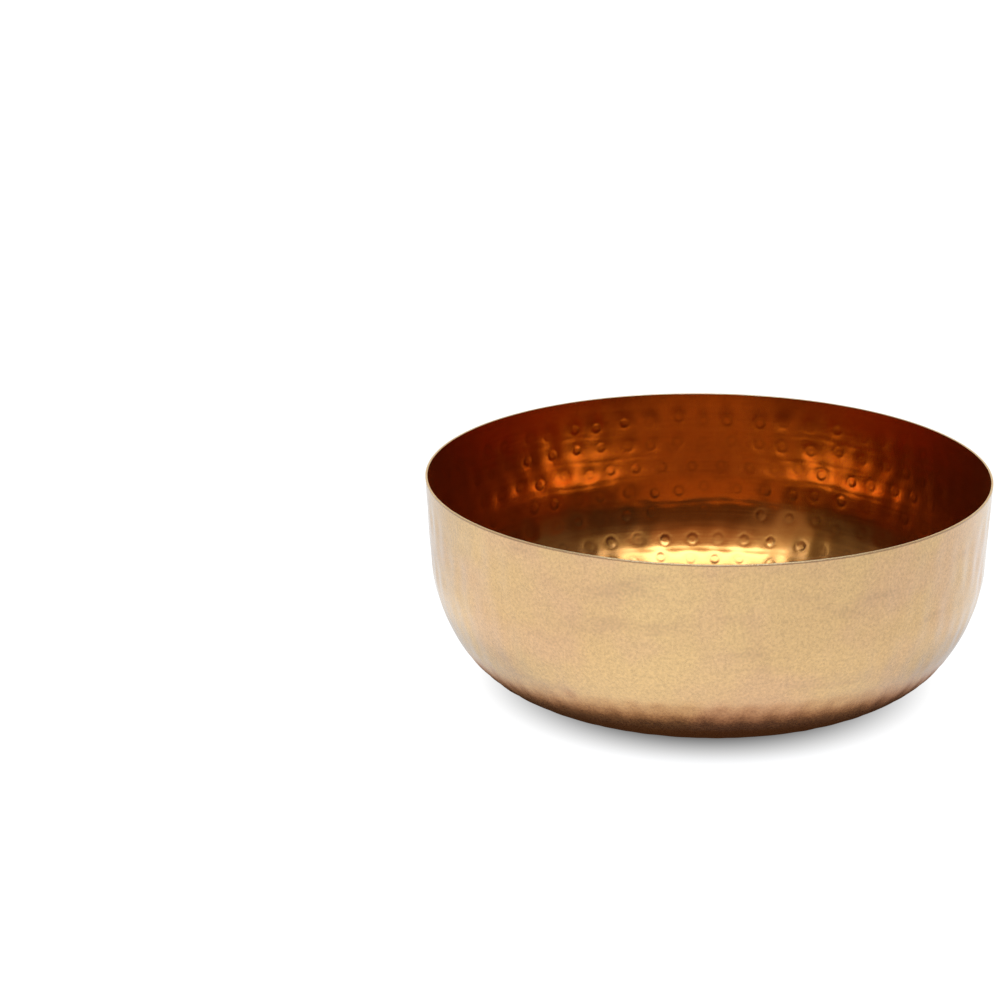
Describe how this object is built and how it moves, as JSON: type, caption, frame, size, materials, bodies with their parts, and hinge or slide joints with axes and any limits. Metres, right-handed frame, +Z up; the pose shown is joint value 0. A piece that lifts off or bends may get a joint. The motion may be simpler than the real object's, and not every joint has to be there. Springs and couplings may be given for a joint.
{
  "type": "hammered copper bowl",
  "caption": "Round copper bowl with a flat base, a curved heel, a near-upright thin wall and hammer marks in rows, standing on small clear silicone pads.",
  "frame": {"origin": "on the surface that the bowl stands on, under the centre of the bowl", "axes": "+Z up along the bowl's axis, through the middle of the mouth; +X and +Y are level, with one pad in each quarter between them"},
  "size_m": [0.24, 0.2398, 0.0905],
  "materials": {
    "copper_sheet": "satin lacquered copper outside, bright hammered copper inside",
    "clear_silicone": "clear soft silicone"
  },
  "bodies": {
    "root": {"bowl_shell": "copper_sheet", "base_pad_1": "clear_silicone", "base_pad_2": "clear_silicone", "base_pad_3": "clear_silicone", "base_pad_4": "clear_silicone"}
  },
  "joints": []
}
